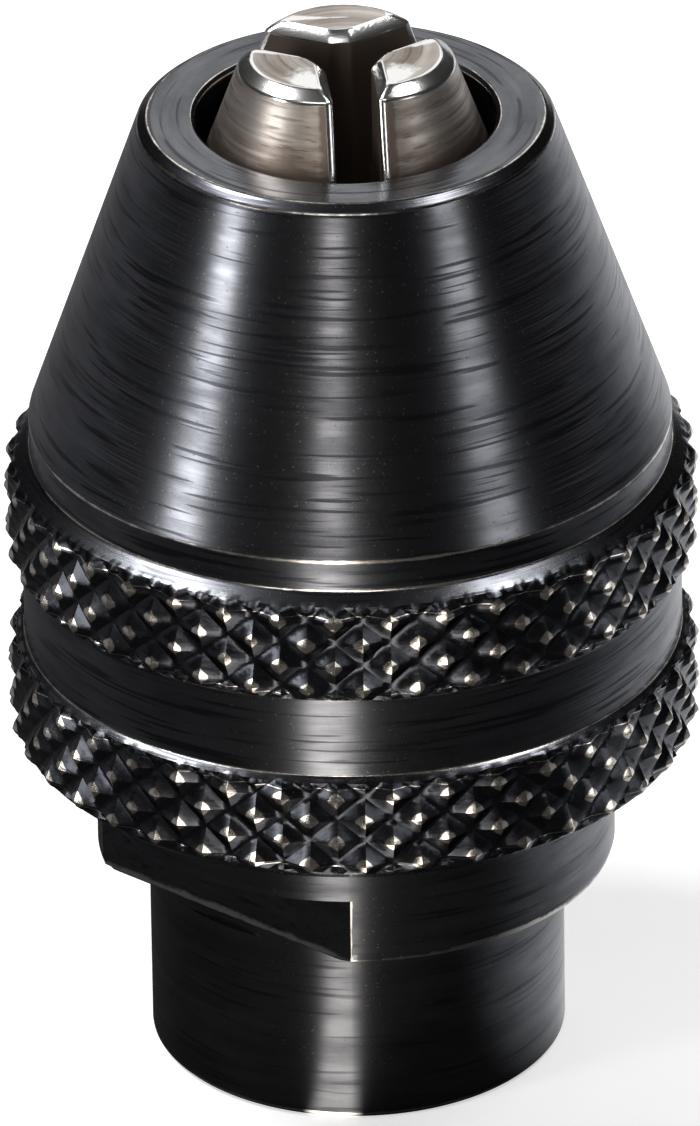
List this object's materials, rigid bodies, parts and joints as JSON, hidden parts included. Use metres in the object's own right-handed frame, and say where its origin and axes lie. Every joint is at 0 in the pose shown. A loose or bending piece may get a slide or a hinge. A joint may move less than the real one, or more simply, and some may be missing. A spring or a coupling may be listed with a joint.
{
  "type": "drill chuck",
  "caption": "Small keyless drill chuck: a knurled coned sleeve closes segment jaws, over a rear shank with a spindle thread and wrench flats.",
  "frame": {"origin": "centre of the rear shank's end face, on the chuck's axis", "axes": "+Z along the chuck's axis, from the rear shank to the jaws; -Y is the side seen from the front"},
  "size_m": [0.0175, 0.0174, 0.0276],
  "materials": {
    "black_oxide": "black oxide, fine turned",
    "sleeve_oxide": "black oxide, fine turned, knurled",
    "oiled_steel": "ground and oiled",
    "jaw_steel": "turned, bare and slightly tarnished",
    "spring_steel": "drawn wire"
  },
  "bodies": {
    "body": {"spindle_body": "black_oxide", "thrust_disc": "oiled_steel"},
    "ring": {"retaining_ring": "spring_steel"},
    "sleeve": {"nose_sleeve": "sleeve_oxide"},
    "jaw_1": {"jaw_1": "jaw_steel", "rear_spring_1": "spring_steel", "front_spring_1": "spring_steel"},
    "jaw_2": {"jaw_2": "jaw_steel", "rear_spring_2": "spring_steel", "front_spring_2": "spring_steel"},
    "jaw_3": {"jaw_3": "jaw_steel", "rear_spring_3": "spring_steel", "front_spring_3": "spring_steel"}
  },
  "joints": [
    {"name": "sleeve_travel", "type": "slide", "parent": "body", "child": "ring", "axis": [0, 0, 1], "range_m": [-0.00174, 0.00208]},
    {"name": "sleeve_turn", "type": "hinge", "parent": "ring", "child": "sleeve", "pos_m": [0, 0, 0.0175], "axis": [0, 0, 1], "range_deg": [-628, 750]},
    {"name": "jaw_1_slide", "type": "slide", "parent": "body", "child": "jaw_1", "axis": [0.9135, -0.4067, 0], "range_m": [-0.00064, 0.00076], "deforming": ["rear_spring_1", "front_spring_1"]},
    {"name": "jaw_2_slide", "type": "slide", "parent": "body", "child": "jaw_2", "axis": [-0.1045, 0.9945, 0], "range_m": [-0.00064, 0.00076], "deforming": ["rear_spring_2", "front_spring_2"]},
    {"name": "jaw_3_slide", "type": "slide", "parent": "body", "child": "jaw_3", "axis": [-0.809, -0.5878, 0], "range_m": [-0.00064, 0.00076], "deforming": ["rear_spring_3", "front_spring_3"]}
  ],
  "couplings": [
    {"joint": "sleeve_turn", "follows": "sleeve_travel", "rad_per_m": 6283.2},
    {"joint": "jaw_1_slide", "follows": "sleeve_travel", "ratio": 0.36397},
    {"joint": "jaw_2_slide", "follows": "sleeve_travel", "ratio": 0.36397},
    {"joint": "jaw_3_slide", "follows": "sleeve_travel", "ratio": 0.36397}
  ]
}
